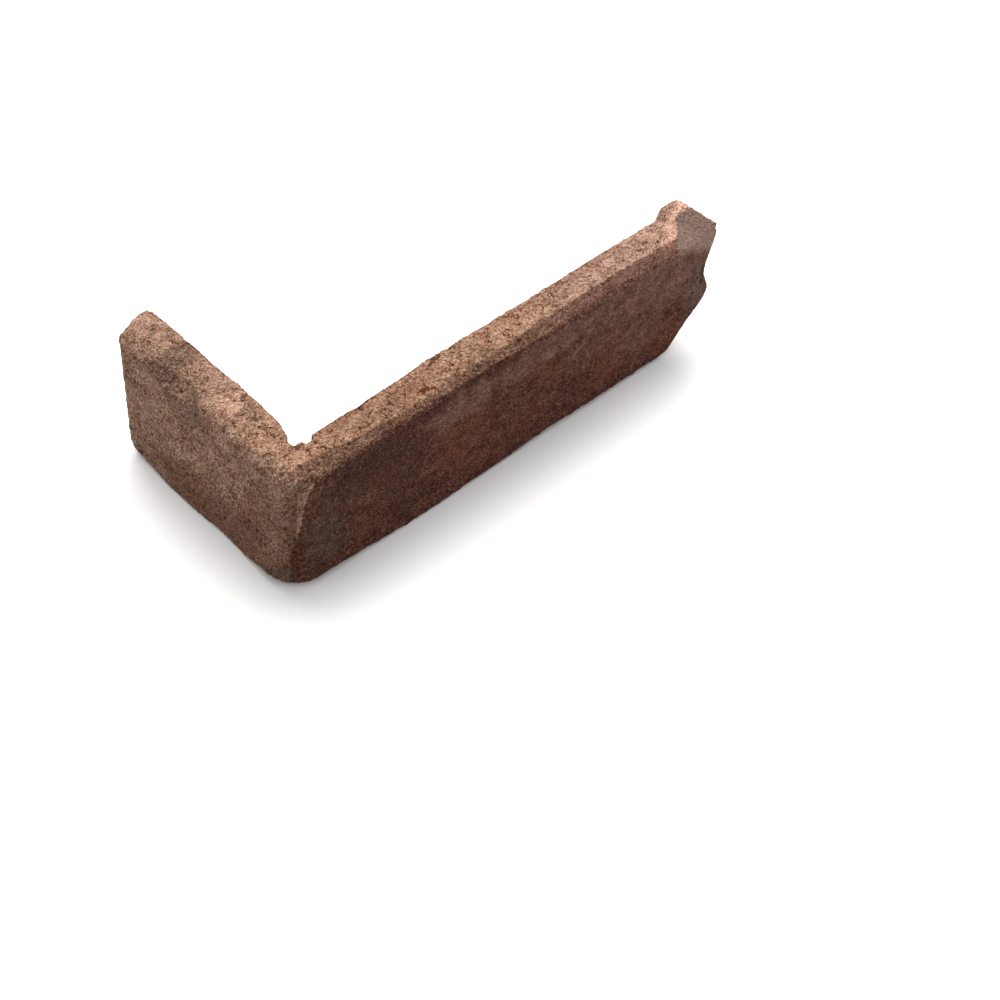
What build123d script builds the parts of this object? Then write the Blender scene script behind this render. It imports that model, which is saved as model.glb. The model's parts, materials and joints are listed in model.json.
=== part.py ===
from build123d import *
from math import radians, tan
import os

# A corner brick slip: the outer corner of a hand-moulded clay brick, sawn off as one L-shaped
# piece that stands on its long bed edge. Sizes are in millimetres. It is drawn with its outer
# corner at the origin, the long leg along +X and the short leg along +Y.

# Main sizes
stretcher_length = 215.0  # long leg, outer corner to the middle of its far end
header_length = 108.0  # short leg, outer corner to the middle of its far end
height = 60.6  # bed to bed, near the corner
thickness = 18.4  # weathered outer face to sawn back

# Worn arrises
corner_round = 10.0  # upright arris where the two outer faces meet, at the top
corner_foot_round = 16.5  # and at the bed
corner_top_round = 7.0
corner_low_round = 6.5
stretcher_top_round = 2.0
header_top_round = 3.0
leg_low_round = 2.2
bevel_width = 7.5  # shallow bevel along the outer side of the top bed
corner_bevel = 0.3  # how far it drops
stretcher_bevel = 1.2
header_bevel = 0.5

# Saw cuts: each blade ran past the inner corner into the other leg
kerf_width = 4.4
header_overcut = 4.1  # depth of the slot in the short leg
stretcher_overcut = 2.2  # depth of the slot in the long leg
mouth_length = 11.0  # crumbled edge beside the slot in the short leg
mouth_depth = 22.0
mouth_overlap = 0.8  # how far the bite runs out through the sawn back and into the slot

# Far end of the long leg
stretcher_end_skew = 5.0  # how much longer the outer face is than the back
sweep_reach = 26.5  # curve that takes away the lower far corner, along the bed
sweep_rise = 25.5  # and up the end
sweep_inset = 2.3  # how far the end stands in above the curve
end_hollow = 2.4  # how much further it is broken away halfway up
end_crest = 0.5  # how far it stands out again at the top
ramp_length = 19.0  # smooth facet that climbs to the end of the top bed
ramp_slope = 23.0  # degrees that it climbs along the leg
ramp_fall = 16.0  # degrees that it falls towards the outer face
ramp_rise = 0.5  # height of its middle over the bed, at the end
ramp_inset = 0.7  # how far its front stands behind the outer face
ridge_start = 14.0  # ridge of clay on the back edge, beside the facet, from the end
ridge_length = 11.0
ridge_rise = 3.6
ridge_width = 5.0
ridge_foot = 4.0  # how deep the ridge is rooted in the bed
ridge_line = [(0, -0.3), (0.2, 0.85), (0.6, 1.0), (1.0, 0.75)]  # shares of its length and rise

# Far end of the short leg
header_end_skew = 5.7  # how much longer the back is than the outer face
header_end_lean = 5.4  # how far the end draws in on its way down
header_end_round = 5.0  # outer upright arris
header_end_low_round = 15.0
header_end_top_round = 4.0

# Chip out of the top arris of the short leg
chip_radius = 26.0
chip_place = 70.5
chip_depth = 3.4

# Shallow hollows torn in the top bed: place, lowest level, and radius of the ball that fits in
bed_tears = [
    (46, 13.5, 59.7, 14),
    (59, 9, 60.1, 12),
    (90, 13, 60.6, 16),
    (106, 10, 60.1, 13),
    (146, 13, 59.0, 18),
    (177, 12, 58.6, 14),
    (8, 34, 59.1, 16),
    (12.5, 52, 60.7, 12),
    (12, 95, 60.3, 12),
]

# How a leg wavers on its way to the far end, as hand-moulded clay does, in even steps from the
# corner block: lift of the bottom edge, lift of the top edge, swell of the face low and high
foot_swell = 3.1  # how far the short leg's face swells at the foot of the corner
stretcher_waves = [
    (0.8, 0.3, 0.0, 0.2),
    (-0.5, 0.1, 0.2, 0.1),
    (0.1, 1.3, 0.3, -0.4),
    (0.3, 0.2, 0.1, 0.1),
    (1.5, -0.5, -0.1, 0.4),
    (1.3, -0.9, 0.2, 0.5),
    (0.7, -1.1, -0.1, 0.2),
    (1.4, -2.2, 0.0, 0.3),
    (2.0, -2.7, -0.4, 0.0),
]
header_waves = [
    (-0.6, -0.3, 1.5, 0.2),
    (-0.3, 0.4, 0.9, 0.3),
    (-0.7, 1.0, 1.1, 0.0),
    (-0.7, 0.3, 1.3, -0.3),
    (-0.5, 0.5, 0.9, 0.3),
    (0.6, 0.8, 0.3, 0.4),
    (1.6, 0.2, -0.2, 0.9),
    (2.4, -0.6, -0.4, 1.2),
]

slices_per_step = 3
bed_wear = 0.6  # clay drawn below the bed, worn off its high spots
saw_allowance = 2.0  # clay drawn behind the legs, for the saw to take off
end_allowance = 4.0  # clay drawn past the far ends, before they are shaped
stand_off = 0.8  # how far the corner of a rounding cut stands off the clay
margin = 10.0  # how far a cutting shape runs past the clay


def leg_section(plane, low, high, swell_low, swell_high, low_round, top_round, bevel):
    # One slice through a leg: rounded at the outer face, left rough past where the saw cuts.
    back = thickness + saw_allowance
    bed_edge = (bevel_width, high)
    corners = [(-swell_low, low), (back, low), (back, high), bed_edge, (-swell_high, high - bevel)]
    with BuildSketch(plane) as section:
        with BuildLine():
            Polyline(*corners, close=True)
        make_face()
        fillet(section.vertices().sort_by_distance(corners[0])[0], low_round)
        fillet(section.vertices().sort_by_distance(corners[-1])[0], top_round)
    return section.sketch


def between(stations, place):
    # The values at a place between two stations, on a smooth curve through them all.
    last = len(stations) - 1
    step = min(int(place), last - 1)
    part = place - step
    around = [stations[min(max(step + offset, 0), last)] for offset in (-1, 0, 1, 2)]
    values = []
    for before, start, end, after in zip(*around):
        curve = 2 * before - 5 * start + 4 * end - after
        twist = -before + 3 * start - 3 * end + after
        values.append(start + 0.5 * part * (end - before + part * (curve + part * twist)))
    return values


def leg_sections(plane_at, length, swell_at_corner, waves, top_round, bevel):
    # The slices of one leg, from the corner block to past its far end.
    at_corner = (-bed_wear, 0, swell_at_corner, 0, corner_low_round, corner_top_round, corner_bevel)
    stations = [at_corner] + [(*wave, leg_low_round, top_round, bevel) for wave in waves]
    step = (length + end_allowance - thickness) / len(waves)
    sections = []
    for count in range(len(waves) * slices_per_step + 1):
        place = count / slices_per_step
        low, rise, *rest = between(stations, place)
        sections.append(leg_section(plane_at(thickness + place * step), low, height + rise, *rest))
    return sections


def stretcher_plane(x):
    return Plane(origin=(x, 0, 0), x_dir=(0, 1, 0), z_dir=(1, 0, 0))


def header_plane(y):
    return Plane(origin=(0, y, 0), x_dir=(1, 0, 0), z_dir=(0, -1, 0))


def block_plan(z, swell, arris_round):
    # Plan of the corner block at one level, with its upright arris worn round.
    with BuildSketch(Plane.XY.offset(z)) as plan:
        with Locations((-swell, 0)):
            Rectangle(thickness + swell, thickness, align=Align.MIN)
        fillet(plan.vertices().sort_by_distance((-swell, 0))[0], arris_round)
    return plan.sketch


# Smooth facet at the far end of the top bed, a wedge that stands on the leg
ramp_tilt = Vector(-tan(radians(ramp_slope)), -tan(radians(ramp_fall)), 1)
ramp_top = Plane(origin=(stretcher_length, thickness / 2, height + ramp_rise), z_dir=ramp_tilt)
with BuildPart() as ramp:
    with BuildSketch(Plane.XY.offset(height - margin)):
        with Locations((stretcher_length - ramp_length, ramp_inset)):
            Rectangle(ramp_length + margin, thickness - ramp_inset, align=Align.MIN)
    extrude(amount=2 * margin)
    split(bisect_by=ramp_top, keep=Keep.BOTTOM)

# Slices of the ridge of clay that is pushed up along the back edge
ridge_slices = []
for length_share, rise_share in ridge_line:
    ridge_place = stretcher_length - ridge_start + length_share * ridge_length
    with BuildSketch(stretcher_plane(ridge_place)) as ridge_slice:
        with BuildLine():
            Polyline(
                (thickness - ridge_width, height - 1.5 * ridge_foot),
                (thickness, height - 1.5 * ridge_foot),
                (thickness, height + rise_share * ridge_rise),
                (thickness - ridge_width, height - ridge_foot),
                close=True,
            )
        make_face()
    ridge_slices.append(ridge_slice.sketch)


with BuildPart() as corner_slip:
    # Corner block, with the arrises round its top and bottom worn too
    block_foot = block_plan(-bed_wear, foot_swell, corner_foot_round)
    loft([block_foot, block_plan(height, 0, corner_round)], ruled=True)
    for bed, bed_round in (
        (corner_slip.faces().sort_by(Axis.Z)[-1], corner_top_round),
        (corner_slip.faces().sort_by(Axis.Z)[0], corner_low_round),
    ):
        inner_corner = Vertex(thickness, thickness, bed.center().Z)
        fillet(bed.edges().sort_by(lambda edge: -edge.distance_to(inner_corner))[:3], bed_round)

    # The two legs, each lofted through its slices
    stretcher_top = (stretcher_top_round, stretcher_bevel)
    header_top = (header_top_round, header_bevel)
    loft(leg_sections(stretcher_plane, stretcher_length, 0, stretcher_waves, *stretcher_top), ruled=True)
    loft(leg_sections(header_plane, header_length, foot_swell, header_waves, *header_top), ruled=True)

    # Bed: the high spots that the slip stands on are worn flat
    split(bisect_by=Plane.XY, keep=Keep.TOP)

    # Plan: the saw leaves both backs flat
    with BuildSketch():
        with Locations((-margin, -margin)):
            Rectangle(stretcher_length + 3 * margin, thickness + margin, align=Align.MIN)
            Rectangle(thickness + margin, header_length + 3 * margin, align=Align.MIN)
    extrude(amount=height + margin, mode=Mode.INTERSECT)

    # Far end of the long leg: smooth facet and ridge on the top bed
    add(ramp.part)
    loft(ridge_slices, ruled=True)

    # Far end of the long leg: skewed end, hollow halfway up, its lower corner swept away
    skew_slope = stretcher_end_skew / thickness
    end_place = stretcher_length + stretcher_end_skew / 2 + margin * skew_slope
    end_side = Plane(origin=(end_place, -margin, 0), x_dir=(1, 0, 0), z_dir=(0, -1, 0))
    with BuildSketch(end_side):
        with BuildLine():
            Spline(
                (-sweep_reach, 0),
                (-0.75 * sweep_reach, 0.2 * sweep_rise),
                (-0.48 * sweep_reach, 0.5 * sweep_rise),
                (-sweep_inset, sweep_rise),
                (-sweep_inset - end_hollow, 0.57 * height),
                (-sweep_inset, 0.76 * height),
                (end_crest, height),
            )
            Polyline(
                (end_crest, height),
                (end_crest, height + margin),
                (3 * margin, height + margin),
                (3 * margin, -margin),
                (-sweep_reach, -margin),
                (-sweep_reach, 0),
            )
        make_face()
    extrude(amount=thickness + 3 * margin, dir=(-stretcher_end_skew, thickness, 0), mode=Mode.SUBTRACT)

    # Far end of the short leg: a skewed, leaning end with its outer arris worn round
    skew_slope = header_end_skew / thickness
    foot = header_length - header_end_skew / 2 - header_end_lean
    with BuildSketch() as end_plan:
        with BuildLine():
            Polyline(
                (-margin, foot - margin),
                (-stand_off, foot - margin),
                (-stand_off, foot - stand_off * skew_slope),
                (thickness + margin, foot + (thickness + margin) * skew_slope),
                (thickness + margin, header_length + 3 * margin),
                (-margin, header_length + 3 * margin),
                close=True,
            )
        make_face()
        fillet(end_plan.vertices().sort_by_distance((-stand_off, foot))[0], header_end_round)
    extrude(amount=height + margin, dir=(0, header_end_lean, height), mode=Mode.SUBTRACT)

    # The same end, with its top and bottom edges worn round
    low_corner = (stand_off, -stand_off)
    top_corner = (header_end_lean + stand_off, height + stand_off)
    end_side = Plane(origin=(-margin, foot - margin * skew_slope, 0), x_dir=(0, 1, 0), z_dir=(1, 0, 0))
    with BuildSketch(end_side) as end_rounds:
        with BuildLine():
            Polyline(
                (-2 * margin, -margin),
                (-2 * margin, -stand_off),
                low_corner,
                top_corner,
                (-2 * margin, height + stand_off),
                (-2 * margin, height + margin),
                (3 * margin, height + margin),
                (3 * margin, -margin),
                close=True,
            )
        make_face()
        fillet(end_rounds.vertices().sort_by_distance(low_corner)[0], header_end_low_round)
        fillet(end_rounds.vertices().sort_by_distance(top_corner)[0], header_end_top_round)
    extrude(amount=thickness + 3 * margin, dir=(thickness, header_end_skew, 0), mode=Mode.SUBTRACT)

    # Saw slots at the inner corner, the full height of the slip
    with BuildSketch():
        with Locations((thickness, thickness)):
            Rectangle(header_overcut, kerf_width, align=(Align.MAX, Align.MIN))
            Rectangle(kerf_width, stretcher_overcut, align=(Align.MIN, Align.MAX))
    extrude(amount=height + margin, mode=Mode.SUBTRACT)

    # Crumbled edge beside the slot in the short leg: a bite that narrows downwards to a point
    mouth_start = thickness + kerf_width
    with BuildSketch(Plane.XY.offset(height + ridge_rise), mode=Mode.PRIVATE) as bite:
        with BuildLine():
            Polyline(
                (thickness - header_overcut, mouth_start - mouth_overlap),
                (thickness - 0.3 * header_overcut, mouth_start + 0.5 * mouth_length),
                (thickness + mouth_overlap, mouth_start + mouth_length),
                (thickness + mouth_overlap, mouth_start - mouth_overlap),
                close=True,
            )
        make_face()
    bite_point = Vertex(thickness, mouth_start, height - mouth_depth)
    loft([bite.sketch.face(), bite_point], ruled=True, mode=Mode.SUBTRACT)

    # Chip out of the top arris of the short leg
    chip_reach = (chip_radius - chip_depth) / 2**0.5
    arris_setback = (1 - 1 / 2**0.5) * header_top_round
    with Locations((arris_setback - chip_reach, chip_place, height - arris_setback + chip_reach)):
        Sphere(chip_radius, mode=Mode.SUBTRACT)

    # Shallow hollows torn in the top bed
    for tear_x, tear_y, tear_level, tear_radius in bed_tears:
        with Locations((tear_x, tear_y, tear_level + tear_radius)):
            Sphere(tear_radius, mode=Mode.SUBTRACT)


os.makedirs("parts", exist_ok=True)
extent = corner_slip.part.bounding_box()
corner_slip.part.move(Location((-extent.center().X, -extent.center().Y, -extent.min.Z)))
corner_slip.part.label = "corner_slip"
export_step(corner_slip.part, "parts/corner_slip.step")
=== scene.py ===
import json
import math
import bmesh
import bpy
import numpy as np
from mathutils import Matrix, Vector, kdtree, noise


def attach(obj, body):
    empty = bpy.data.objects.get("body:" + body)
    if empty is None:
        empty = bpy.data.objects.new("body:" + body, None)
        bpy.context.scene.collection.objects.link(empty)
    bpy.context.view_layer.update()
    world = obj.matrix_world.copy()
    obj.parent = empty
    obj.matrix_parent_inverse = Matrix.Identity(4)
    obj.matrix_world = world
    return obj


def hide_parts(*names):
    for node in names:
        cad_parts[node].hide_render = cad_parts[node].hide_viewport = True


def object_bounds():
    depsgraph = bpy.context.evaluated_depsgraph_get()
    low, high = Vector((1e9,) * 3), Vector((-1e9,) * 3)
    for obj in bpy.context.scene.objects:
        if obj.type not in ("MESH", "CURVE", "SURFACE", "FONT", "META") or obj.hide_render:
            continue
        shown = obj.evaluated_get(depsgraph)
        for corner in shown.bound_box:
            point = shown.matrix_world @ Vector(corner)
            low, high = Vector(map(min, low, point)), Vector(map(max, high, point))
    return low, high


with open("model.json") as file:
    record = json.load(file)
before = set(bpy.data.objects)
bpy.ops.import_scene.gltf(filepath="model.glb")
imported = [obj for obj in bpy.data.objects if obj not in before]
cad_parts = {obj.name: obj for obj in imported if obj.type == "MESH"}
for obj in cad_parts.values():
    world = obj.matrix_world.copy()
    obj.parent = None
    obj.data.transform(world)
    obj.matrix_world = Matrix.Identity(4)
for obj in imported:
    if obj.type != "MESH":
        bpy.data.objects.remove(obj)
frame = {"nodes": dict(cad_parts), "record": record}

# A corner brick slip of hand-moulded fired clay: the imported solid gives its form, and this
# script gives it the torn beds, pitted and sanded faces, saw marks and kiln colours.
cadLow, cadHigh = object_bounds()
mm = 0.001

slipForm = {  # in mm, from the outer corner of the slip at the level of the bed
    "thickness": 18.4,  # outer face to sawn back
    "height": 60.6,
    "overcut": 4.6,  # how far the saw slots reach past the inner corner
    "kerf": 4.9,  # and their width
    "merge": 0.002,  # vertices nearer than this become one
    "voxel": 0.615,  # mesh size of the worn surface
    "triangles": 185000,  # what the thinning aims at
    "plainAlong": 184, "plainAcross": 102,  # where the thinned areas end on each leg
    "plainLow": 3, "plainTop": 6,  # what stays fine below and above them on the backs
    "plainUnder": (4, 15),  # and how far in from the outer faces they lie underneath
}
mounts = {mount["name"]: mount for mount in frame["record"]["mounts"]}
headerBack = mounts["header_back"]["pos_m"][0]
stretcherBack = mounts["stretcher_back"]["pos_m"][1]
outerCorner = Vector((
    headerBack - slipForm["thickness"] * mm,
    stretcherBack - slipForm["thickness"] * mm,
    0,
))


def linearColour(hexText):
    # sRGB hex to the linear values that sockets hold
    channels = [int(hexText[place:place + 2], 16) / 255 for place in (1, 3, 5)]
    linear = [c / 12.92 if c <= 0.04045 else ((c + 0.055) / 1.055) ** 2.4 for c in channels]
    return (*linear, 1.0)


def addNode(tree, kind, settings, inputs):
    # One node, with its settings, and each input given a value or linked to another node's output.
    # A Mix node takes numbers at 2 and 3, vectors at 4 and 5, colours at 6 and 7, and gives them
    # out at 0, 1 and 2.
    node = tree.nodes.new(kind)
    for name, value in settings.items():
        setattr(node, name, value)
    for name, value in inputs.items():
        if isinstance(value, bpy.types.NodeSocket):
            tree.links.new(value, node.inputs[name])
        else:
            node.inputs[name].default_value = value
    return node


def smoothStep(low, high, value):
    share = np.clip((value - low) / (high - low), 0, 1)
    return share * share * (3 - 2 * share)


def addObject(name, data):
    piece = bpy.data.objects.new(name, data)
    bpy.context.scene.collection.objects.link(piece)
    return piece


def bakeModifiers(piece):
    # The piece as its modifiers leave it, as a plain mesh
    depsgraph = bpy.context.evaluated_depsgraph_get()
    evaluated = piece.evaluated_get(depsgraph)
    made = bpy.data.meshes.new_from_object(evaluated, preserve_all_data_layers=True, depsgraph=depsgraph)
    piece.modifiers.clear()
    piece.data = made


def readVertices(mesh, what):
    values = np.empty(len(mesh.vertices) * 3)
    mesh.vertices.foreach_get(what, values)
    return values.reshape(-1, 3)


def writePlaces(mesh, places):
    # Nothing goes past the solid's own box
    mesh.vertices.foreach_set("co", np.clip(places, np.array(cadLow), np.array(cadHigh)).ravel())


def writeAttribute(mesh, name, values):
    attribute = mesh.attributes.get(name) or mesh.attributes.new(name, "FLOAT", "POINT")
    attribute.data.foreach_set("value", np.asarray(values, dtype=np.float32))


def placeOnSlip(points):
    # Places in mm from the outer corner of the slip, at the level of the bed
    return (points - np.array(outerCorner)) / mm


# The slip's own mesh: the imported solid, merged, and cut into small even faces
print("slip: fine mesh")
slipMesh = frame["nodes"]["corner_slip"].data.copy()
merging = bmesh.new()
merging.from_mesh(slipMesh)
bmesh.ops.remove_doubles(merging, verts=merging.verts, dist=slipForm["merge"] * mm)
merging.to_mesh(slipMesh)
merging.free()
slip = addObject("weathered_slip", slipMesh)
remesh = slip.modifiers.new("evenFaces", "REMESH")
remesh.mode = "VOXEL"
remesh.voxel_size = slipForm["voxel"] * mm
bakeModifiers(slip)


def sawnShare(places, normals):
    # 1 on the faces that the saw left: both backs and the slots at the inner corner
    back = slipForm["thickness"]
    slack = 0.5  # mm
    square = 0.8  # how squarely such a face looks its way
    upright = 0.6
    sawnFace = (normals[:, 1] > square) & (np.abs(places[:, 1] - back) < slack) & (places[:, 0] > back)
    sawnFace |= (normals[:, 0] > square) & (np.abs(places[:, 0] - back) < slack) & (places[:, 1] > back)
    nearX = (places[:, 0] > back - slipForm["overcut"]) & (places[:, 0] < back + slipForm["kerf"])
    nearY = (places[:, 1] > back - slipForm["overcut"]) & (places[:, 1] < back + slipForm["kerf"])
    sawnFace |= nearX & nearY & (np.abs(normals[:, 2]) < upright)
    return sawnFace.astype(float)


# The backs and the resting bed stay flat, so away from their edges they keep far fewer faces
places = placeOnSlip(readVertices(slip.data, "co"))
normals = readVertices(slip.data, "normal")
fromFace = places[:, :2].min(1)
underFrom, underTo = slipForm["plainUnder"]
plainTop = slipForm["height"] - slipForm["plainTop"]
onBack = (sawnShare(places, normals) > 0.5) & (places[:, 2] > slipForm["plainLow"]) & (places[:, 2] < plainTop)
onBack &= places[:, 0] + places[:, 1] > 2 * slipForm["thickness"] + 2 * slipForm["kerf"]
underneath = (normals[:, 2] < -0.95) & (fromFace > underFrom) & (fromFace < underTo)
inReach = (places[:, 0] < slipForm["plainAlong"]) & (places[:, 1] < slipForm["plainAcross"])
group = slip.vertex_groups.new(name="plain")
group.add(np.nonzero((onBack | underneath) & inReach)[0].tolist(), 1.0, "REPLACE")
thinning = slip.modifiers.new("thinning", "DECIMATE")
thinning.ratio = min(1, slipForm["triangles"] / (2 * len(slip.data.polygons)))
thinning.vertex_group = "plain"
thinning.use_collapse_triangulate = True
bakeModifiers(slip)
slip.vertex_groups.clear()
print("slip:", len(slip.data.vertices), "vertices,", len(slip.data.polygons), "faces")

# Relief in mm. Each kind of lump has its height and width, the place in the noise that it starts
# from, how many sizes of finer lumps lie on it, and how it is stretched.
slipRelief = {
    "bedLump": (0.45, 3.4, 3.1, 4),
    "bedGrit": (0.4, 1.5, 7.7, 2),
    "headerLump": (0.22, 4.0, 17.9),
    "headerGrit": (0.3, 1.3, 21.4, 2, (1, 1, 1.5)),
    "stretcherLump": (0.25, 14.0, 31.2),
    "stretcherGrit": (0.15, 1.4, 37.5, 2),
    "tearPath": (1.0, 5.0, 11.3, 3, (1.2, 1, 1)),  # a tear runs where this noise is near 0
    "tearDepth": 0.75, "tearWidth": 0.25,
    "longTears": [(49, 10, 14, 10, 1), (97, 9, 14, 8, 1), (70, 12, 8, 6, 0.5), (146, 12, 9, 5, 0.5),
                  (177, 12, 12, 6, 0.6)],  # as the spots of colour further down
    "shortTears": [(36, 9, 10, 7, 1), (53, 13, 8, 6, 0.6), (95, 12, 8, 8, 0.5)],
    "endShare": 0.5,  # of the beds' and the header's relief on the ends and rounded arrises
    "smoothShare": 0.12,  # of the relief that the smooth facet and the ridge keep
    "restLevel": 0.4,  # what the slip stands on keeps its level up to here
    "edgeChip": (1.0, 5.0, 43.0, 4),  # breaks along the arrises beside the sawn faces
    "edgeDepth": 0.45, "edgeReach": (2.0, 0.3), "edgeWear": 0.15, "chipFrom": 0.05, "chipShare": 1.5,
    "wornTip": (18.4, 111.5, 61.0), "tipReach": 7.0,  # the short leg's far back corner
    "tipDrop": (-0.3, -0.9, -1.2),
}
# Where each kind of surface is. Heights and depths are as they look from the front, in mm: a point
# behind the face looks higher up on it by lookUp for each mm, and further along by lookAlong.
# A pair of numbers is where a zone starts and where it is full.
slipZones = {
    "lookUp": 1.48, "lookAlong": -0.88,
    "facing": (0.35, 0.75), "facingDown": (0.45, 0.8),
    "warp": (0.25, 6.0, 51.0), "ragged": (1.0, 3.0, 53.0),  # noise that bends and frays the borders
    "darkAlong": [0, 2, 4, 7, 10, 20, 30, 40, 60, 100, 114, 126, 140, 165, 185, 200, 216],
    "darkFrom": [30, 38, 50, 57, 59.5, 59.5, 61, 62.3, 62.2, 61.5, 60.5, 59.5, 61, 65, 65.5, 66, 67],
    "darkBlur": [0.8, 0.8, 0.8, 0.8, 0.7, 0.7, 0.7, 0.7, 0.9, 1.5, 3.0, 4.0, 4.0, 2.5, 2.0, 1.5, 1.5],
    "darkCorner": (0.5, 2.5), "darkDepth": 16,  # the kiln's flash starts past the corner arris
    "fadedAlong": (181, 189), "fadedLevel": (48, 58), "faded": 0.6,  # and fades below the facet
    "bedAlong": [0, 8, 18, 30, 40, 50, 70, 110, 130, 150, 190],  # where bevel turns to bed, long leg
    "bedFrom": [10.3, 10, 9, 7, 6, 5.2, 4.8, 5, 6.3, 6.8, 6.3],
    "bedBlur": [0.5, 0.5, 0.7, 0.9, 1.2, 1.8, 2.5, 2.2, 1.2, 0.8, 0.8],
    "shortAlong": [0, 10, 18, 30, 40, 50, 58, 66, 76, 86, 96, 112],  # and short leg
    "shortFrom": [9, 8.3, 3.4, 2.8, 3.2, 4.5, 7, 9.5, 10.5, 9.5, 6.5, 6.5],
    "shortBlur": [0.5, 0.5, 0.6, 0.7, 0.8, 1.0, 1.5, 2.0, 2.0, 2.0, 1.6, 1.6],
    "bedFray": 0.7, "bedCorner": 17,
    "facetAlong": (194.5, 197.5), "facetFoot": (54, 61), "facetFootFrom": 197, "facetFootSlope": 0.6,
    "facetTop": (82, 78), "facetBack": (16.5, 14), "facetEnd": (0.7, 0.4),
    "besideAlong": (186, 192), "besideLevel": (58, 66), "besideShare": 0.8,
    "ridgeAlong": (199, 201), "ridgeAcross": (13.5, 15), "ridgeLevel": (55, 58),
    "pinkLong": (110, 165), "pinkLongShare": 0.7, "pinkShort": (25, 50), "pinkShortShare": 0.5,
    "bedPits": 0.25, "headerPits": 1.0, "stretcherPits": 0.1, "pitsAbove": 1.5,
}
print("slip: relief")
zones = slipZones
places = placeOnSlip(readVertices(slip.data, "co"))
normals = readVertices(slip.data, "normal")
along, across, level = places.T
sawn = sawnShare(places, normals)
upward = smoothStep(*zones["facing"], normals[:, 2])
downward = smoothStep(*zones["facingDown"], -normals[:, 2])
headerFace = smoothStep(*zones["facing"], -normals[:, 0])
stretcherFace = smoothStep(*zones["facing"], -normals[:, 1])
onStretcher = (along > across).astype(float)


def noiseAt(height, size, start, octaves=3, stretch=(1, 1, 1)):
    # Fractal noise over the slip, about -height to height, with lumps about size mm wide
    fade = 0.9  # how fast the finer lumps lose height
    finer = 2.0
    shift = Vector((start, 2.3 * start, 5.1 * start))
    scaled = places / (size * np.array(stretch))
    return height * np.array([noise.fractal(Vector(point) + shift, fade, finer, octaves) for point in scaled])


# How far each vertex is from the nearest edge between a sawn face and the rest
isEdge = (sawn < 0.5) & (np.abs(normals[:, 2]) < 0.93)
nearBack = (np.abs(across - slipForm["thickness"]) < 1) & (along > slipForm["thickness"])
nearBack |= (np.abs(along - slipForm["thickness"]) < 1) & (across > slipForm["thickness"])
edgePlaces = places[isEdge & nearBack]
edgeTree = kdtree.KDTree(len(edgePlaces))
for number, place in enumerate(edgePlaces):
    edgeTree.insert(place, number)
edgeTree.balance()
edgeDistance = np.array([edgeTree.find(place)[2] for place in places])

warp = noiseAt(*zones["warp"])
ragged = noiseAt(*zones["ragged"])


def spots(where, sideways, rise):
    # Soft ellipses on a face: place along it, height, width, tallness and strength, with bent edges
    outside, inside = 1.15, 0.6
    total = np.zeros(len(places))
    for centre, middle, width, tallness, strength in where:
        away = np.hypot((sideways - centre) / width, (rise - middle) / tallness) + warp
        total = np.maximum(total, strength * smoothStep(outside, inside, away))
    return total


frontAlong = along + zones["lookAlong"] * across
frontLevel = level + zones["lookUp"] * across
darkTop = np.interp(frontAlong, zones["darkAlong"], zones["darkFrom"])
darkBlur = np.interp(frontAlong, zones["darkAlong"], zones["darkBlur"])
flashed = smoothStep(darkBlur, -darkBlur, frontLevel + ragged - darkTop)
flashed *= smoothStep(*zones["darkCorner"], along + 0.5 * ragged) * (across < zones["darkDepth"])
faded = smoothStep(*zones["fadedAlong"], frontAlong) * smoothStep(*zones["fadedLevel"], frontLevel)
flashed *= 1 - zones["faded"] * faded

bedFrom = np.interp(along, zones["bedAlong"], zones["bedFrom"])
bedBlur = np.interp(along, zones["bedAlong"], zones["bedBlur"])
shortFrom = np.interp(across, zones["shortAlong"], zones["shortFrom"])
shortBlur = np.interp(across, zones["shortAlong"], zones["shortBlur"])
onLong = smoothStep(-bedBlur, bedBlur, across - bedFrom + zones["bedFray"] * ragged)
onShort = smoothStep(-shortBlur, shortBlur, along - shortFrom + zones["bedFray"] * ragged)
bedClay = upward * np.where(along > across, onLong, onShort)
bedClay *= smoothStep(0, 2, along + across - zones["bedCorner"])
bedClay = np.clip(bedClay + downward, 0, 1)

# The smooth facet at the far end, the rosy clay beside it and the ridge behind it
facetFoot = frontLevel + zones["facetFootSlope"] * (frontAlong - zones["facetFootFrom"]) + 0.6 * ragged
facet = smoothStep(*zones["facetAlong"], frontAlong + 0.3 * ragged)
facet *= smoothStep(*zones["facetFoot"], facetFoot)
facet *= smoothStep(*zones["facetTop"], frontLevel)
besideFacet = smoothStep(*zones["besideAlong"], frontAlong)
besideFacet *= smoothStep(*zones["besideLevel"], frontLevel + 0.4 * ragged)
facet = np.maximum(facet, zones["besideShare"] * besideFacet * (1 - upward))
facet *= smoothStep(*zones["facetBack"], across) * smoothStep(*zones["facetEnd"], normals[:, 0])
rosy = besideFacet * (1 - facet) * upward
ridge = smoothStep(*zones["ridgeAlong"], along) * smoothStep(*zones["ridgeAcross"], across)
ridge *= smoothStep(*zones["ridgeLevel"], level)

form = slipRelief
crumbly = np.clip(upward + downward, 0, 1)
bedRelief = noiseAt(*form["bedLump"]) + noiseAt(*form["bedGrit"])
tearPath = np.abs(noiseAt(*form["tearPath"]))
tearHere = spots(form["longTears"], along, across) * (along > across)
tearHere += spots(form["shortTears"], across, along) * (along < across)
bedRelief -= form["tearDepth"] * smoothStep(form["tearWidth"], 0, tearPath) * tearHere
headerRelief = noiseAt(*form["headerLump"]) + noiseAt(*form["headerGrit"])
stretcherRelief = noiseAt(*form["stretcherLump"]) + noiseAt(*form["stretcherGrit"])
endRelief = form["endShare"] * (bedRelief + headerRelief)

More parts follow.
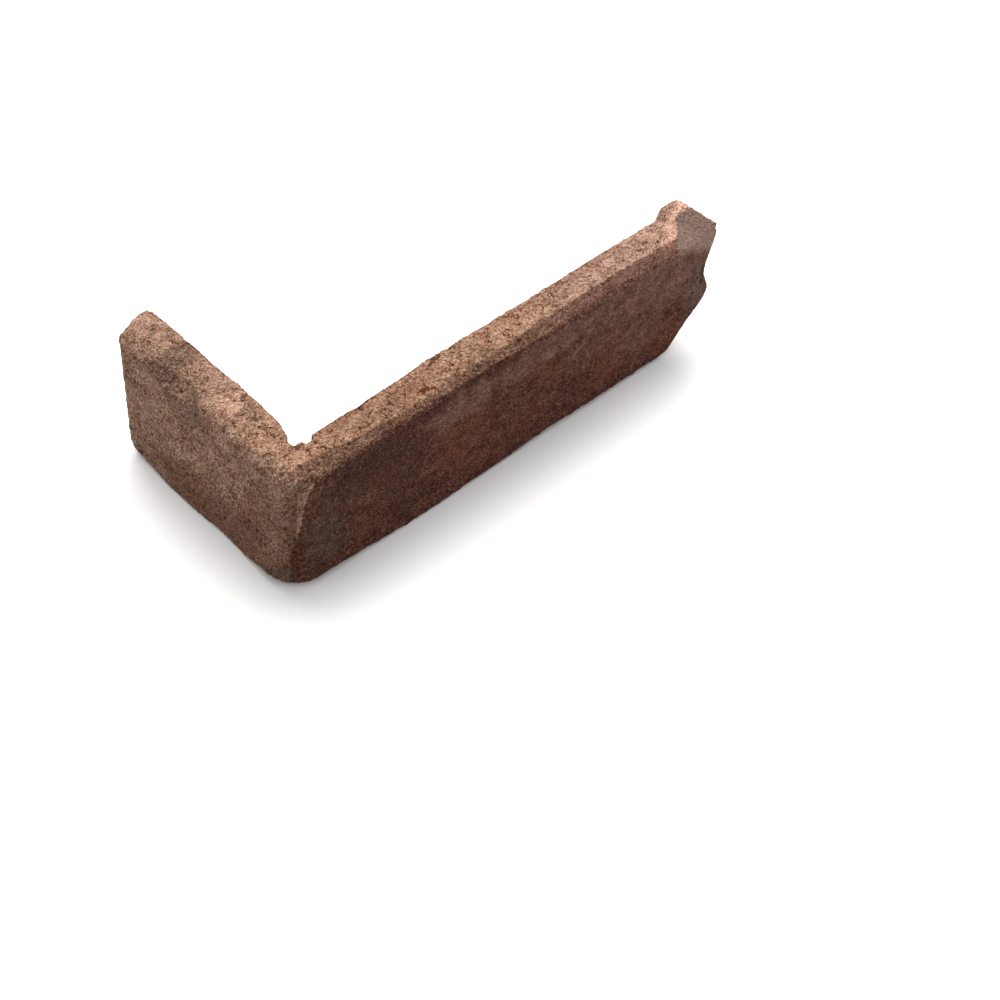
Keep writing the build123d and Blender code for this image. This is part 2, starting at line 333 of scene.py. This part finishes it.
# Each vertex takes its relief from the faces that it looks like, and the ends from what is left
weights = np.stack([crumbly, headerFace * (1 - crumbly), stretcherFace * (1 - crumbly), np.zeros(len(places))])
weights[3] = np.clip(1 - weights[:3].sum(0), 0.02, 1)
relief = (weights * np.stack([bedRelief, headerRelief, stretcherRelief, endRelief])).sum(0) / weights.sum(0)
smoothed = np.maximum(np.maximum(facet, ridge), 0.5 * rosy)
relief *= (1 - sawn) * (1 - (1 - form["smoothShare"]) * smoothed)
chipping = np.clip(noiseAt(*form["edgeChip"]) - form["chipFrom"], 0, 1)
chipped = smoothStep(*form["edgeReach"], edgeDistance) * (form["edgeWear"] + form["chipShare"] * chipping)
relief -= form["edgeDepth"] * chipped * (1 - ridge)
relief[level < form["restLevel"]] = 0
tipDistance = np.linalg.norm(places - np.array(form["wornTip"]), axis=1)
tipWorn = smoothStep(form["tipReach"], 0, tipDistance)
moved = readVertices(slip.data, "co") + normals * relief[:, None] * mm
moved += tipWorn[:, None] * np.array(form["tipDrop"]) * mm
writePlaces(slip.data, moved)
slip.data.update()

# What the kiln and the mould left on the faces, for the colours, and under the shade key darker clay with
# painted shade in pits and a dent: place, height, width, tallness, strength
longTints = {
    "smoke": [(36, 49, 24, 12, 0.8), (52, 38, 14, 20, 0.5), (188, 36, 9, 12, 0.5),
              (75, 57, 50, 4, 0.6), (4, 61, 5, 3, 0.5)],
    "veil": [(14, 24, 12, 17, 0.5), (22, 40, 12, 7, 0.25), (207, 30, 7, 20, 0.5), (208, 62, 8, 9, 0.7)],
    "mauve": [(84, 49, 19, 9, 0.9), (116, 50, 16, 9, 0.8), (134, 50, 14, 8, 0.9), (165, 50, 25, 12, 0.7),
              (190, 48, 30, 18, 0.9), (208, 40, 9, 26, 0.8), (176, 24, 14, 14, 0.5), (150, 34, 20, 10, 0.4),
              (164, 64, 36, 4, 0.8)],
    "rust": [(160, 10, 4, 3, 1), (161, 22, 9, 16, 0.7), (43, 36, 9, 10, 0.4), (100, 12, 14, 6, 0.5),
             (21, 87, 12, 6, 0.4), (56, 77, 16, 7, 0.4), (151, 85, 16, 6, 0.35), (84, 28, 16, 18, 0.6),
             (128, 38, 9, 12, 0.5), (190, 14, 12, 8, 0.5), (120, 18, 14, 8, 0.4)],
    # darker clay, and painted shade at 211 to 212 along and 31 to 37 high, in pits of the far end
    "shade": [(60, 12, 20, 6, 0.3), (140, 26, 8, 12, 0.2), (15, 26, 15, 24, 0.3),
              (0, 34, 4, 34, 0.35), (206.5, 80.5, 1.3, 1.6, 0.8), (208.5, 77.5, 1.3, 1.6, 0.9),
              (210.5, 74.5, 1.4, 1.5, 0.9), (211.8, 37, 1.4, 4, 1), (211, 31.5, 1.2, 1.8, 1)],
}
shortTints = {
    "rust": [(24, 20, 12, 14, 0.6), (50, 12, 40, 12, 0.5), (8, 6, 14, 9, 0.5), (1, 28, 6, 34, 0.6),
             (18, 30, 14, 24, 0.3)],
    "veil": [(60, 54, 9, 8, 0.5), (66, 48, 9, 6, 0.4), (5, 5, 14, 7, 0.6)],
    "smoke": [(1, 56, 2.5, 8, 0.4)],
    # darker clay, and painted shade at 81 across and 59 high, on the upper wall of the dent in the bed
    "shade": [(85, 64, 26, 5, 0.2), (81, 59, 8, 5, 0.75), (74, 54, 6, 4, 0.4), (37, 30, 3, 3, 0.8),
              (42, 63, 4, 3, 0.6), (96, 40, 8, 5, 0.2), (24, 19, 9, 7, 0.45), (3, 30, 8, 36, 0.6),
              (16, 34, 12, 26, 0.3)],
}
clayShade = {
    "lowLevel": (30, 8), "low": 0.4,  # painted shade: darker low down on the short leg
    "hollowDepth": (0.05, 0.7), "hollow": 0.5,  # and painted shade in the hollows of the beds
    "sunlit": [(46, 11, 16, 9, 0.35), (9, 9, 8, 8, 0.25)],  # paler spots on the short leg's bed
    "facet": 0.7, "rosy": 0.9,  # how much paler the facet's upright part is, painted light, and how much paler the rosy clay beside it is
}
for name, where in longTints.items():
    held = spots(where, frontAlong, frontLevel) * onStretcher
    held += spots(shortTints.get(name, []), across, level) * (1 - onStretcher)
    if name == "shade":
        # Painted shade: darker low down on the short leg and in the hollows of the beds
        low = smoothStep(*clayShade["lowLevel"], level + 3 * warp) * (1 - onStretcher) * (1 - upward)
        hollow = smoothStep(*clayShade["hollowDepth"], -relief) * crumbly
        held = np.clip(np.maximum(held, clayShade["low"] * low) + clayShade["hollow"] * hollow, 0, 1)
        # Painted light: paler on the sunlit spots of the short leg's bed and on the facet's upright part
        sunlit = spots(clayShade["sunlit"], across, along) * upward
        held -= clayShade["facet"] * facet * stretcherFace + clayShade["rosy"] * rosy + sunlit
    writeAttribute(slip.data, name, held * (1 - sawn))

pinkLong = zones["pinkLongShare"] * smoothStep(*zones["pinkLong"], along)
pinkShort = zones["pinkShortShare"] * smoothStep(*zones["pinkShort"], across)
pitShare = zones["bedPits"] * crumbly + zones["headerPits"] * headerFace * (1 - crumbly)
pitShare += zones["stretcherPits"] * stretcherFace
pitShare *= (1 - sawn) * (1 - facet) * (1 - ridge) * (level > zones["pitsAbove"])
surfaceShares = {
    "flashed": np.maximum(flashed, 0),
    "bedClay": np.clip(bedClay * (1 - facet), 0, 1),
    "bevel": upward * onStretcher,
    "pink": np.maximum(np.maximum(pinkLong, pinkShort), rosy) * upward,
    "facet": facet,
    "ridge": ridge,
    "sawn": sawn,
    "pitShare": np.clip(pitShare, 0, 1),
}
for name, values in surfaceShares.items():
    writeAttribute(slip.data, name, values)

# Pits: small round holes where grit and air left the clay, scattered by Geometry Nodes, in m
clayPits = {
    "Pits per Square Metre": 90000.0,
    "Least Radius": 0.0004, "Most Radius": 0.0012,
    "Depth": 0.8,  # share of the radius
    "Wobble": 0.0012, "Wobble Scale": 450.0,  # what keeps them from being quite round
    "Seed": 8,
}


def buildPitTree():
    tree = bpy.data.node_groups.new("clayPits", "GeometryNodeTree")
    tree.interface.new_socket(name="Geometry", in_out="INPUT", socket_type="NodeSocketGeometry")
    for name, value in clayPits.items():
        kind = "NodeSocketInt" if isinstance(value, int) else "NodeSocketFloat"
        tree.interface.new_socket(name=name, in_out="INPUT", socket_type=kind)
    tree.interface.new_socket(name="Material", in_out="INPUT", socket_type="NodeSocketMaterial")
    tree.interface.new_socket(name="Geometry", in_out="OUTPUT", socket_type="NodeSocketGeometry")
    given = addNode(tree, "NodeGroupInput", {}, {}).outputs
    share = addNode(tree, "GeometryNodeInputNamedAttribute", {"data_type": "FLOAT"}, {"Name": "pitShare"})
    density = addNode(tree, "ShaderNodeMath", {"operation": "MULTIPLY"},
                      {0: share.outputs["Attribute"], 1: given["Pits per Square Metre"]})
    scatter = addNode(tree, "GeometryNodeDistributePointsOnFaces", {},
                      {"Mesh": given["Geometry"], "Density": density.outputs[0], "Seed": given["Seed"]})
    size = addNode(tree, "FunctionNodeRandomValue", {"data_type": "FLOAT"},
                   {2: given["Least Radius"], 3: given["Most Radius"], "Seed": given["Seed"]})
    sized = addNode(tree, "GeometryNodeStoreNamedAttribute", {"data_type": "FLOAT", "domain": "POINT"},
                    {"Geometry": scatter.outputs["Points"], "Name": "radius", "Value": size.outputs[1]})
    # Each point of the clay looks from a place that wobbles about its own
    place = addNode(tree, "GeometryNodeInputPosition", {}, {})
    cloud = addNode(tree, "ShaderNodeTexNoise", {}, {"Scale": given["Wobble Scale"], "Detail": 2.0})
    centred = addNode(tree, "ShaderNodeVectorMath", {"operation": "SUBTRACT"},
                      {0: cloud.outputs["Color"], 1: (0.5, 0.5, 0.5)})
    push = addNode(tree, "ShaderNodeVectorMath", {"operation": "SCALE"},
                   {0: centred.outputs[0], "Scale": given["Wobble"]})
    sample = addNode(tree, "ShaderNodeVectorMath", {"operation": "ADD"},
                     {0: place.outputs[0], 1: push.outputs[0]})
    # It is as deep as the nearest pit's middle is near
    nearest = addNode(tree, "GeometryNodeSampleNearest", {"domain": "POINT"},
                      {"Geometry": sized.outputs[0], "Sample Position": sample.outputs[0]})
    centre = addNode(tree, "GeometryNodeSampleIndex", {"data_type": "FLOAT_VECTOR", "domain": "POINT"},
                     {"Geometry": sized.outputs[0], "Value": place.outputs[0], "Index": nearest.outputs[0]})
    ownRadius = addNode(tree, "GeometryNodeInputNamedAttribute", {"data_type": "FLOAT"}, {"Name": "radius"})
    radius = addNode(tree, "GeometryNodeSampleIndex", {"data_type": "FLOAT", "domain": "POINT"},
                     {"Geometry": sized.outputs[0], "Value": ownRadius.outputs["Attribute"],
                      "Index": nearest.outputs[0]})
    away = addNode(tree, "ShaderNodeVectorMath", {"operation": "DISTANCE"},
                   {0: sample.outputs[0], 1: centre.outputs[0]})
    depthShare = addNode(tree, "ShaderNodeMapRange", {"interpolation_type": "SMOOTHSTEP"},
                         {"Value": away.outputs["Value"], "From Min": radius.outputs[0], "From Max": 0.0})
    deep = addNode(tree, "ShaderNodeMath", {"operation": "MULTIPLY"},
                   {0: depthShare.outputs["Result"], 1: radius.outputs[0]})
    deeper = addNode(tree, "ShaderNodeMath", {"operation": "MULTIPLY"},
                     {0: deep.outputs[0], 1: given["Depth"]})
    inward = addNode(tree, "ShaderNodeMath", {"operation": "MULTIPLY"}, {0: deeper.outputs[0], 1: -1.0})
    normal = addNode(tree, "GeometryNodeInputNormal", {}, {})
    offset = addNode(tree, "ShaderNodeVectorMath", {"operation": "SCALE"},
                     {0: normal.outputs[0], "Scale": inward.outputs[0]})
    marked = addNode(tree, "GeometryNodeStoreNamedAttribute", {"data_type": "FLOAT", "domain": "POINT"},
                     {"Geometry": given["Geometry"], "Name": "pit", "Value": depthShare.outputs["Result"]})
    carved = addNode(tree, "GeometryNodeSetPosition", {},
                     {"Geometry": marked.outputs[0], "Offset": offset.outputs[0]})
    whole = addNode(tree, "GeometryNodeRealizeInstances", {}, {"Geometry": carved.outputs[0]})
    finished = addNode(tree, "GeometryNodeSetMaterial", {},
                       {"Geometry": whole.outputs[0], "Material": given["Material"]})
    addNode(tree, "NodeGroupOutput", {}, {"Geometry": finished.outputs[0]})
    return tree


def setInputs(modifier, values):
    for item in modifier.node_group.interface.items_tree:
        if item.in_out == "INPUT" and item.name in values:
            modifier[item.identifier] = values[item.name]


# Fired clay, hand moulded: dull, gritty and open-grained, so it has almost no gloss and its colour
# goes from sandy buff where it is torn to purple-brown where the kiln flashed it.
firedClayLook = {
    "header": ("#643e28", "#ab826a", "#e0bfa9"),  # dark, middle and light grains
    "bed": ("#83543c", "#b1866c", "#d6b095"),
    "bevel": ("#4c2d1b", "#835c48", "#b0917c"),
    "flash": ("#3f1c12", "#663a2d", "#987262"),
    "facet": ("#775e55", "#826a5f", "#8d756a"),
    "ridge": ("#b0846f", "#d9ad98", "#e8c3b0"),
    "sawn": ("#74452f", "#96634f", "#ac7b66"),
    "smoke": "#482e28", "veil": "#6b5750", "mauve": "#8c665a", "rust": "#7f4c36", "pink": "#c29c8b",
    "sand": "#c9a48a", "sandShown": 0.4,
    # painted shade in the pores, pits and cracks, and how dark the shade attribute makes the clay
    "hollow": "#cdb8a8", "crackPaintedShade": "#a67d67", "shadeDepth": 0.55,
    # mm across
    "grain": 0.8, "sandy": 0.6, "grit": 1.3, "crumb": 3.0, "crack": 6.5, "patch": 5.5, "pore": 1.9,
    "speck": 0.8, "sawLine": 1.5,
    "poreBend": 0.0012, "poreTall": (1, 1, 0.6),
    # shares of each size in the light and dark of the grains
    "patchInGrit": 0.3, "grainInGrit": 0.25, "sandyInAll": 0.33,
    # mm deep, as bumps
    "crumbDeep": 3.0, "crackDeep": 0.8, "gritDeep": 1.8, "sandyDeep": 1.3, "grainDeep": 0.4, "sawDeep": 0.22,
    "roughness": 0.9, "ior": 1.5, "specular": 0.1,
}


def buildFiredClay():
    material = bpy.data.materials.new("firedClay")
    material.use_nodes = True
    tree = material.node_tree
    tree.nodes.clear()
    look = firedClayLook
    place = addNode(tree, "ShaderNodeTexCoord", {}, {}).outputs["Object"]
    held = {name: addNode(tree, "ShaderNodeAttribute", {"attribute_name": name}, {}).outputs["Fac"]
            for name in (*longTints, *surfaceShares, "pit")}

    # Grains, grit, crumbs and patches, from small to large
    grain = addNode(tree, "ShaderNodeTexVoronoi", {}, {"Vector": place, "Scale": 1000 / look["grain"]})
    grainShade = addNode(tree, "ShaderNodeSeparateColor", {}, {"Color": grain.outputs["Color"]})
    sandy = addNode(tree, "ShaderNodeTexNoise", {},
                    {"Vector": place, "Scale": 1000 / look["sandy"], "Detail": 1.0})
    grit = addNode(tree, "ShaderNodeTexNoise", {},
                   {"Vector": place, "Scale": 1000 / look["grit"], "Detail": 4.0, "Roughness": 0.65})
    crumb = addNode(tree, "ShaderNodeTexNoise", {},
                    {"Vector": place, "Scale": 1000 / look["crumb"], "Detail": 3.0, "Roughness": 0.6})
    patch = addNode(tree, "ShaderNodeTexNoise", {},
                    {"Vector": place, "Scale": 1000 / look["patch"], "Detail": 3.0})
    gritAndPatch = addNode(tree, "ShaderNodeMix", {"data_type": "FLOAT"},
                           {"Factor": look["patchInGrit"], 2: grit.outputs["Fac"], 3: patch.outputs["Fac"]})
    gritSpread = addNode(tree, "ShaderNodeMapRange", {},
                         {"Value": gritAndPatch.outputs[0], "From Min": 0.32, "From Max": 0.68})
    sandySpread = addNode(tree, "ShaderNodeMapRange", {},
                          {"Value": sandy.outputs["Fac"], "From Min": 0.3, "From Max": 0.7})
    coarse = addNode(tree, "ShaderNodeMix", {"data_type": "FLOAT"},
                     {"Factor": look["grainInGrit"], 2: gritSpread.outputs["Result"],
                      3: grainShade.outputs["Red"]})
    mixed = addNode(tree, "ShaderNodeMix", {"data_type": "FLOAT"},
                    {"Factor": look["sandyInAll"], 2: coarse.outputs[0], 3: sandySpread.outputs["Result"]})
    grainLight = addNode(tree, "ShaderNodeMapRange", {},
                         {"Value": mixed.outputs[0], "From Min": 0.12, "From Max": 0.88,
                          "To Min": 0.45, "To Max": 1.6})
    tintLeft = addNode(tree, "ShaderNodeMapRange", {},
                       {"Value": patch.outputs["Fac"], "From Min": 0.25, "From Max": 0.6,
                        "To Min": 0.35, "To Max": 1.0})

    # The clay of each kind of surface, from its dark to its light grains
    clay = {}
    for name in ("header", "bevel", "bed", "flash", "facet", "ridge", "sawn"):
        grains = addNode(tree, "ShaderNodeValToRGB", {}, {"Fac": mixed.outputs[0]})
        elements = grains.color_ramp.elements
        elements[0].position = 0.2
        elements[1].position = 0.8
        elements.new(0.5)
        for element, shade in zip(elements, look[name]):
            element.color = linearColour(shade)
        clay[name] = grains.outputs["Color"]

    def coated(below, above, name, ragged):
        # One clay over another where the attribute says, its edge broken up by the grit
        rough = addNode(tree, "ShaderNodeMapRange", {},
                        {"Value": grit.outputs["Fac"], "From Min": 0.25, "From Max": 0.75,
                         "To Min": -ragged, "To Max": ragged})
        frayed = addNode(tree, "ShaderNodeMath", {"operation": "ADD"}, {0: held[name], 1: rough.outputs[0]})
        cover = addNode(tree, "ShaderNodeMapRange", {"interpolation_type": "SMOOTHSTEP"},
                        {"Value": frayed.outputs[0], "From Min": 0.2, "From Max": 0.8})
        return addNode(tree, "ShaderNodeMix", {"data_type": "RGBA"},
                       {"Factor": cover.outputs["Result"], 6: below, 7: above}).outputs[2]

    def tinted(below, name):
        # A thin colour over the clay: it takes the grains' light and dark with it
        broken = addNode(tree, "ShaderNodeMath", {"operation": "MULTIPLY"},
                         {0: held[name], 1: tintLeft.outputs["Result"]})
        tint = addNode(tree, "ShaderNodeVectorMath", {"operation": "SCALE"},
                       {0: linearColour(look[name])[:3], "Scale": grainLight.outputs["Result"]})
        return addNode(tree, "ShaderNodeMix", {"data_type": "RGBA"},
                       {"Factor": broken.outputs[0], 6: below, 7: tint.outputs[0]}).outputs[2]

    colour = coated(clay["header"], clay["bevel"], "bevel", 0.2)
    colour = coated(colour, tinted(clay["bed"], "pink"), "bedClay", 0.25)
    colour = coated(colour, clay["flash"], "flashed", 0.3)
    for name in ("rust", "smoke", "mauve", "veil"):
        colour = tinted(colour, name)
    for name in ("facet", "ridge", "sawn"):
        colour = coated(colour, clay[name], name, 0.1)
    # Darker where the shade attribute says, with painted shade in parts, and paler, painted light, where it is
    # below 0
    shadeLeft = addNode(tree, "ShaderNodeMapRange", {"clamp": False},
                        {"Value": held["shade"], "To Min": 1.0, "To Max": 1 - look["shadeDepth"]})
    # Painted shade in the gaps between the grains, and painted light a little on their middles
    grainGapShade = addNode(tree, "ShaderNodeMapRange", {},
                      {"Value": grain.outputs["Distance"], "From Min": 0.15, "From Max": 0.75,
                       "To Min": 1.1, "To Max": 0.68})
    for left in (shadeLeft, grainGapShade):
        colour = addNode(tree, "ShaderNodeVectorMath", {"operation": "SCALE"},
                         {0: colour, "Scale": left.outputs["Result"]}).outputs[0]

    # Grains of pale moulding sand that stuck to the faces, on a few cells in a hundred
    speck = addNode(tree, "ShaderNodeTexVoronoi", {}, {"Vector": place, "Scale": 1000 / look["speck"]})
    speckPick = addNode(tree, "ShaderNodeSeparateColor", {}, {"Color": speck.outputs["Color"]})
    speckShare = addNode(tree, "ShaderNodeMapRange", {},
                         {"Value": speckPick.outputs["Blue"], "From Min": 0.86, "From Max": 0.97,
                          "To Max": look["sandShown"]})
    speckNear = addNode(tree, "ShaderNodeMapRange", {},
                        {"Value": speck.outputs["Distance"], "From Min": 0.4, "From Max": 0.2})
    speckShown = addNode(tree, "ShaderNodeMath", {"operation": "MULTIPLY"},
                         {0: speckShare.outputs["Result"], 1: speckNear.outputs["Result"]})
    colour = addNode(tree, "ShaderNodeMix", {"data_type": "RGBA"},
                     {"Factor": speckShown.outputs[0], 6: colour, 7: linearColour(look["sand"])}).outputs[2]

    # Pores: a dark hole, painted shade, in rather more than half of the cells, on the header, the beds and the
    # backs
    bent = addNode(tree, "ShaderNodeMix", {"data_type": "VECTOR"},
                   {"Factor": look["poreBend"], 4: place, 5: grit.outputs["Color"]})
    tall = addNode(tree, "ShaderNodeVectorMath", {"operation": "MULTIPLY"},
                   {0: bent.outputs[1], 1: look["poreTall"]})
    pore = addNode(tree, "ShaderNodeTexVoronoi", {},
                   {"Vector": tall.outputs[0], "Scale": 1000 / look["pore"]})
    poreSize = addNode(tree, "ShaderNodeSeparateColor", {}, {"Color": pore.outputs["Color"]})
    poreEdge = addNode(tree, "ShaderNodeMapRange", {},
                       {"Value": poreSize.outputs["Green"], "From Min": 0.4, "To Max": 0.42})
    poreDeep = addNode(tree, "ShaderNodeMapRange", {"interpolation_type": "SMOOTHSTEP"},
                       {"Value": pore.outputs["Distance"], "From Min": poreEdge.outputs[0],
                        "From Max": 0.0})
    poreHere = addNode(tree, "ShaderNodeMath", {"operation": "MAXIMUM"},
                       {0: held["pitShare"], 1: held["sawn"]})
    poreShown = addNode(tree, "ShaderNodeMath", {"operation": "MULTIPLY"},
                        {0: poreDeep.outputs["Result"], 1: poreHere.outputs[0]})
    paintedHoleShade = addNode(tree, "ShaderNodeMath", {"operation": "MAXIMUM"},
                   {0: poreShown.outputs[0], 1: held["pit"]})

    # Torn beds: short cracks between the crumbs, darkened with painted shade, here and there, fewer where the
    # clay is pink
    crackField = addNode(tree, "ShaderNodeTexNoise", {},
                         {"Vector": place, "Scale": 1000 / look["crack"], "Detail": 2.0, "Roughness": 0.5})
    crackOff = addNode(tree, "ShaderNodeMath", {"operation": "SUBTRACT"},
                       {0: crackField.outputs["Fac"], 1: 0.5})
    crackAway = addNode(tree, "ShaderNodeMath", {"operation": "ABSOLUTE"}, {0: crackOff.outputs[0]})
    crackLine = addNode(tree, "ShaderNodeMapRange", {"interpolation_type": "SMOOTHSTEP"},
                        {"Value": crackAway.outputs[0], "From Min": 0.03, "From Max": 0.0})
    crackHere = addNode(tree, "ShaderNodeMapRange", {"interpolation_type": "SMOOTHSTEP"},
                        {"Value": patch.outputs["Fac"], "From Min": 0.56, "From Max": 0.46})
    crackLeft = addNode(tree, "ShaderNodeMapRange", {}, {"Value": held["pink"], "To Min": 1.0, "To Max": 0.2})
    crack = crackLine.outputs["Result"]
    for share in (held["bedClay"], crackLeft.outputs["Result"], crackHere.outputs["Result"]):
        crack = addNode(tree, "ShaderNodeMath", {"operation": "MULTIPLY"}, {0: crack, 1: share}).outputs[0]
    # Painted shade: darker in the pores and pits and along the cracks
    for dark, shade in ((paintedHoleShade.outputs[0], "hollow"), (crack, "crackPaintedShade")):
        colour = addNode(tree, "ShaderNodeMix", {"data_type": "RGBA", "blend_type": "MULTIPLY"},
                         {"Factor": dark, 6: colour, 7: linearColour(look[shade])}).outputs[2]

    # Fine lines that the diamond blade left along the backs
    sawLine = addNode(tree, "ShaderNodeTexWave", {"bands_direction": "Z"},
                      {"Vector": place, "Scale": 314 / look["sawLine"], "Distortion": 2.5, "Detail": 3.0,
                       "Detail Scale": 0.6})
    sawHeight = addNode(tree, "ShaderNodeMath", {"operation": "MULTIPLY"},
                        {0: sawLine.outputs["Fac"], 1: held["sawn"]})

    # Bumps, each on the one before: the beds have bolder crumbs and less grit, the facet little grit
    crumbLeft = addNode(tree, "ShaderNodeMapRange", {},
                        {"Value": held["bedClay"], "To Min": 0.35, "To Max": 1.0})
    facetGrit = addNode(tree, "ShaderNodeMapRange", {}, {"Value": held["facet"], "To Min": 1.0, "To Max": 0.3})
    bedGrit = addNode(tree, "ShaderNodeMapRange", {}, {"Value": held["bedClay"], "To Min": 1.0, "To Max": 0.6})
    gritLeft = addNode(tree, "ShaderNodeMath", {"operation": "MULTIPLY"},
                       {0: facetGrit.outputs["Result"], 1: bedGrit.outputs["Result"]})
    bumps = (
        (crumb.outputs["Fac"], "crumbDeep", crumbLeft.outputs["Result"], False),
        (crack, "crackDeep", 1.0, True),
        (grit.outputs["Fac"], "gritDeep", gritLeft.outputs[0], False),
        (sandy.outputs["Fac"], "sandyDeep", gritLeft.outputs[0], False),
        (grain.outputs["Distance"], "grainDeep", 1.0, True),
        (sawHeight.outputs[0], "sawDeep", 1.0, False),
    )
    bumped = {}
    for height, depth, strength, downwards in bumps:
        bump = addNode(tree, "ShaderNodeBump", {"invert": downwards},
                       {"Height": height, "Distance": look[depth] * mm, "Strength": strength, **bumped})
        bumped = {"Normal": bump.outputs["Normal"]}
    shader = addNode(tree, "ShaderNodeBsdfPrincipled", {},
                     {"Base Color": colour, "Roughness": look["roughness"], "IOR": look["ior"],
                      "Specular IOR Level": look["specular"], **bumped})
    addNode(tree, "ShaderNodeOutputMaterial", {}, {"Surface": shader.outputs[0]})
    return material


firedClay = buildFiredClay()
print("slip: pits")
pitting = slip.modifiers.new("clayPits", "NODES")
pitting.node_group = buildPitTree()
setInputs(pitting, {**clayPits, "Material": firedClay})
bakeModifiers(slip)
writePlaces(slip.data, readVertices(slip.data, "co"))
slip.data.shade_smooth()
slip.data.update()

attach(slip, "root")
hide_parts("corner_slip")

# Floor, light and camera, in m
stage = {
    "floorSize": 8.0,
    "floorShade": 0.8, "floorSeen": 1.0,  # what the slip gets from the floor, and what the camera sees
    "skyStrength": 0.72, "skySeen": 1.0,
    "keyPlace": (0.42, 0.55, 1.3), "keySize": 1.3, "keyPower": 32.5,
}


def buildFloor():
    material = bpy.data.materials.new("paperFloor")
    material.use_nodes = True
    tree = material.node_tree
    tree.nodes.clear()
    path = addNode(tree, "ShaderNodeLightPath", {}, {}).outputs
    seen = addNode(tree, "ShaderNodeMath", {"operation": "ADD"},
                   {0: path["Is Camera Ray"], 1: path["Is Glossy Ray"]})
    seenAll = addNode(tree, "ShaderNodeMath", {"operation": "ADD", "use_clamp": True},
                      {0: seen.outputs[0], 1: path["Is Transmission Ray"]})
    shade = addNode(tree, "ShaderNodeMapRange", {},
                    {"Value": seenAll.outputs[0], "To Min": stage["floorShade"], "To Max": stage["floorSeen"]})
    paper = addNode(tree, "ShaderNodeBsdfDiffuse", {}, {"Color": shade.outputs[0]})
    addNode(tree, "ShaderNodeOutputMaterial", {}, {"Surface": paper.outputs[0]})
    half = stage["floorSize"] / 2
    mesh = bpy.data.meshes.new("floor")
    corners = [(-half, -half, 0), (half, -half, 0), (half, half, 0), (-half, half, 0)]
    mesh.from_pydata(corners, [], [(0, 1, 2, 3)])
    mesh.materials.append(material)
    addObject("floor", mesh)


def buildLight():
    world = bpy.data.worlds.new("studio")
    bpy.context.scene.world = world
    world.use_nodes = True
    tree = world.node_tree
    tree.nodes.clear()
    path = addNode(tree, "ShaderNodeLightPath", {}, {}).outputs
    strength = addNode(tree, "ShaderNodeMapRange", {},
                       {"Value": path["Is Camera Ray"], "To Min": stage["skyStrength"],
                        "To Max": stage["skySeen"]})
    sky = addNode(tree, "ShaderNodeBackground", {}, {"Color": (1, 1, 1, 1), "Strength": strength.outputs[0]})
    addNode(tree, "ShaderNodeOutputWorld", {}, {"Surface": sky.outputs[0]})
    lamp = bpy.data.lights.new("softbox", "AREA")
    lamp.shape = "SQUARE"
    lamp.size = stage["keySize"]
    lamp.energy = stage["keyPower"]
    softbox = addObject("softbox", lamp)
    softbox.location = stage["keyPlace"]
    softbox.rotation_euler = (-Vector(stage["keyPlace"])).to_track_quat("-Z", "Y").to_euler()


cameraView = {
    "azimuth": -44.481, "elevation": 48.808, "roll": 3.003,  # degrees
    "fromCorner": (-692.34, -812.60, 1279.36),  # mm
    "focalLength": 157.64, "sensor": 36.0,  # mm
}


def buildCamera():
    turn, rise, roll = (math.radians(cameraView[name]) for name in ("azimuth", "elevation", "roll"))
    back = Vector((math.sin(turn) * math.cos(rise), -math.cos(turn) * math.cos(rise), math.sin(rise)))
    sideways = (-back).cross(Vector((0, 0, 1))).normalized()
    upright = sideways.cross(-back)
    right = math.cos(roll) * sideways + math.sin(roll) * upright
    up = -math.sin(roll) * sideways + math.cos(roll) * upright
    camera = addObject("camera", bpy.data.cameras.new("camera"))
    camera.matrix_world = Matrix((right, up, back)).transposed().to_4x4()
    camera.location = outerCorner + Vector(cameraView["fromCorner"]) * mm
    camera.data.lens = cameraView["focalLength"]
    camera.data.sensor_width = cameraView["sensor"]
    bpy.context.scene.camera = camera


print("stage")
buildFloor()
buildLight()
buildCamera()
bpy.context.scene.view_settings.view_transform = "Standard"
